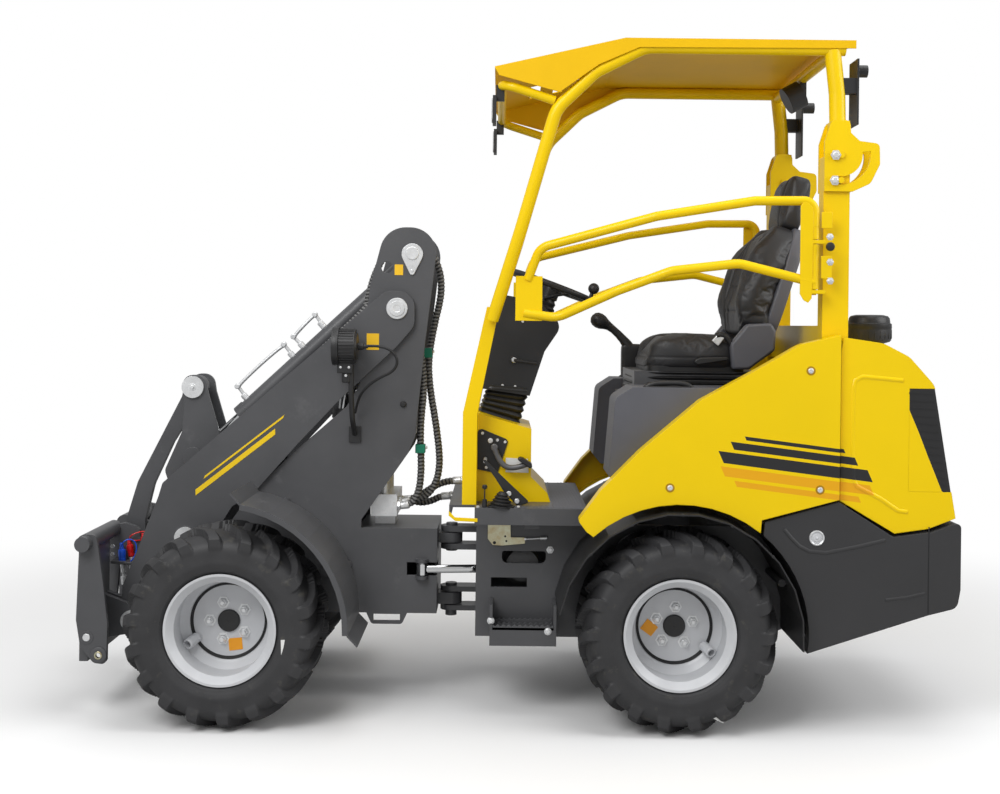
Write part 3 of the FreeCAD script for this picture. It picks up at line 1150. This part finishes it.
def canopy_lamps(frame):
    """Lamps at the canopy's corners, each on a bracket fitted to the tube that carries it."""
    fold = PLACES["fold"]
    bracket = block("lamp_plate", fold[0] - 62, fold[0] - 56, 340, 440, fold[1] + 100, fold[1] + 312)
    spacer = block("lamp_spacer", fold[0] - 57, fold[0] + 4, 405, 435, fold[1] + 200, fold[1] + 250)
    lamp = between("rear_lamp", (fold[0] - 61, 365, fold[1] + 285), (fold[0] - 110, 365,
            fold[1] + 285), 0, 46, 20)
    rear = cut("rear_lamp_left", weld("rear_lamp_set", bracket, spacer, lamp), frame)
    work = between("work_lamp", (fold[0] + 24, 0, fold[1] + 275), (fold[0] + 80, 0, fold[1] + 245),
                   0, 60, 48)
    arm = block("work_lamp_arm", fold[0] + 10, fold[0] + 30, -20, 20, fold[1] + 255, fold[1] + 330)
    middle = cut("work_lamp_seated", weld("work_lamp_set", work, arm), frame)
    face = block("front_marker", PIVOT_X - 142, PIVOT_X - 130, 330, 405, 1945, 2035)
    stem = block("front_marker_stem", PIVOT_X - 168, PIVOT_X - 140, 366, 384, 2020, 2072)
    marker = cut("front_marker_left", weld("front_marker_set", face, stem), frame)
    keep("canopy_lamps", together("canopy_lamps", rear, mirrored("rear_lamp_right", rear), middle, marker,
                                  mirrored("front_marker_right", marker)))


def hood():
    """The tilting hood: a shell open at its front and its foot, with the rear grille."""
    half, wall = size("hood_half"), size("hood_wall")
    outer = plate("hood_outer", [
        ("rear", -506, 746), ("rear", -506, 1222), ("rear", -512, 1264), ("rear", -640, 1246),
        ("rear", -722, 1204), ("rear", -803, 1114), ("rear", -873, 694), ("rear", -786, 660),
        ("rear", -680, 644)], -half, half, rounds=[(3, 80), (4, 60), (5, 60)])
    inside = plate("hood_inside", [
        ("rear", -480, 700), ("rear", -480, 1262), ("rear", -638, 1240), ("rear", -718, 1199),
        ("rear", -797, 1111), ("rear", -867, 640), ("rear", -786, 600), ("rear", -680, 600)],
        -(half - wall), half - wall)
    low, high, front = size(777), size(1104), REAR_X - 723
    window = block("hood_window", REAR_X - 920, front, -half - 5, half + 5, low, high)
    notch_y = size("post_y") + "post_half"
    notch = block("hood_notch", REAR_X - 557, REAR_X - 400, -notch_y, notch_y, 700, 1300)
    hinge = round_y("hood_hinge", PLACES["hood_hinge"], -300, 300, 8)
    lug = block("hood_hinge_lug", PLACES["hood_hinge"][0] - 6, PLACES["hood_hinge"][0] + 6, -300, 300,
                PLACES["hood_hinge"][1] + 4, 1256)
    keep("hood", weld("hood", cut("hood_shell", outer, inside, window, notch), hinge, lug))
    shape = [("rear", -723, high), ("rear", -803, high), ("rear", -857, low), ("rear", -723, low)]
    skin = plate("grille_skin", shape, -half + 1, half - 1)
    room = plate("grille_room", [("rear", -700, high - 5), ("rear", -797, high - 5), ("rear", -851, low + 5),
                                 ("rear", -700, low + 5)], -half + 7, half - 7)
    keep("hood_grille", cut("hood_grille", skin, room))
    return outer


def pre_cleaner(hood_body):
    """The air intake's pre-cleaner drum on its short pipe, which is fitted to the hood's slope."""
    x = REAR_X - 699
    pipe = round_z("cleaner_pipe", x, 120, 1200, 1262, 32)
    drum = round_z("cleaner_drum", x, 120, 1258, 1340, 76)
    keep("pre_cleaner", cut("pre_cleaner", weld("cleaner_set", pipe, drum), hood_body))


for end, axle_x in (("front", FRONT_X), ("rear", REAR_X)):
    axle(f"{end}_axle", axle_x)
    for side in ("left", "right"):
        wheel(side, end, axle_x)
front_frame()
front_fenders()
headlamps()
valve_block()
boom()
hoses()
rocker()
link()
coupler()
cylinders()
rear_frame()
steering_cylinder()
engine_block()
side_panels()
side_tanks()
counterweight()
rear_bumper()
rear_fenders()
floor_and_steps()
pedestal()
pedals()
console()
steering_wheel()
seat()
joystick()
rear_posts()
for side in ("left", "right"):
    side_bar(side)
canopy_lamps(canopy())
roof()
pre_cleaner(hood())

# ------------------------------------------------------------------ check and write
doc.recompute()
failed = [o.Name for o in doc.Objects if "Invalid" in o.State or "Error" in o.State]
if failed:
    raise SystemExit(f"objects that failed: {failed}")
os.makedirs("parts", exist_ok=True)
for label, thing in NODES.items():
    shape = thing.Shape
    if shape.isNull() or not shape.isValid() or not shape.Solids:
        raise SystemExit(f"{label} has no valid solid")
    shape.exportStep(f"parts/{label}.step")
print(len(NODES), "nodes written")
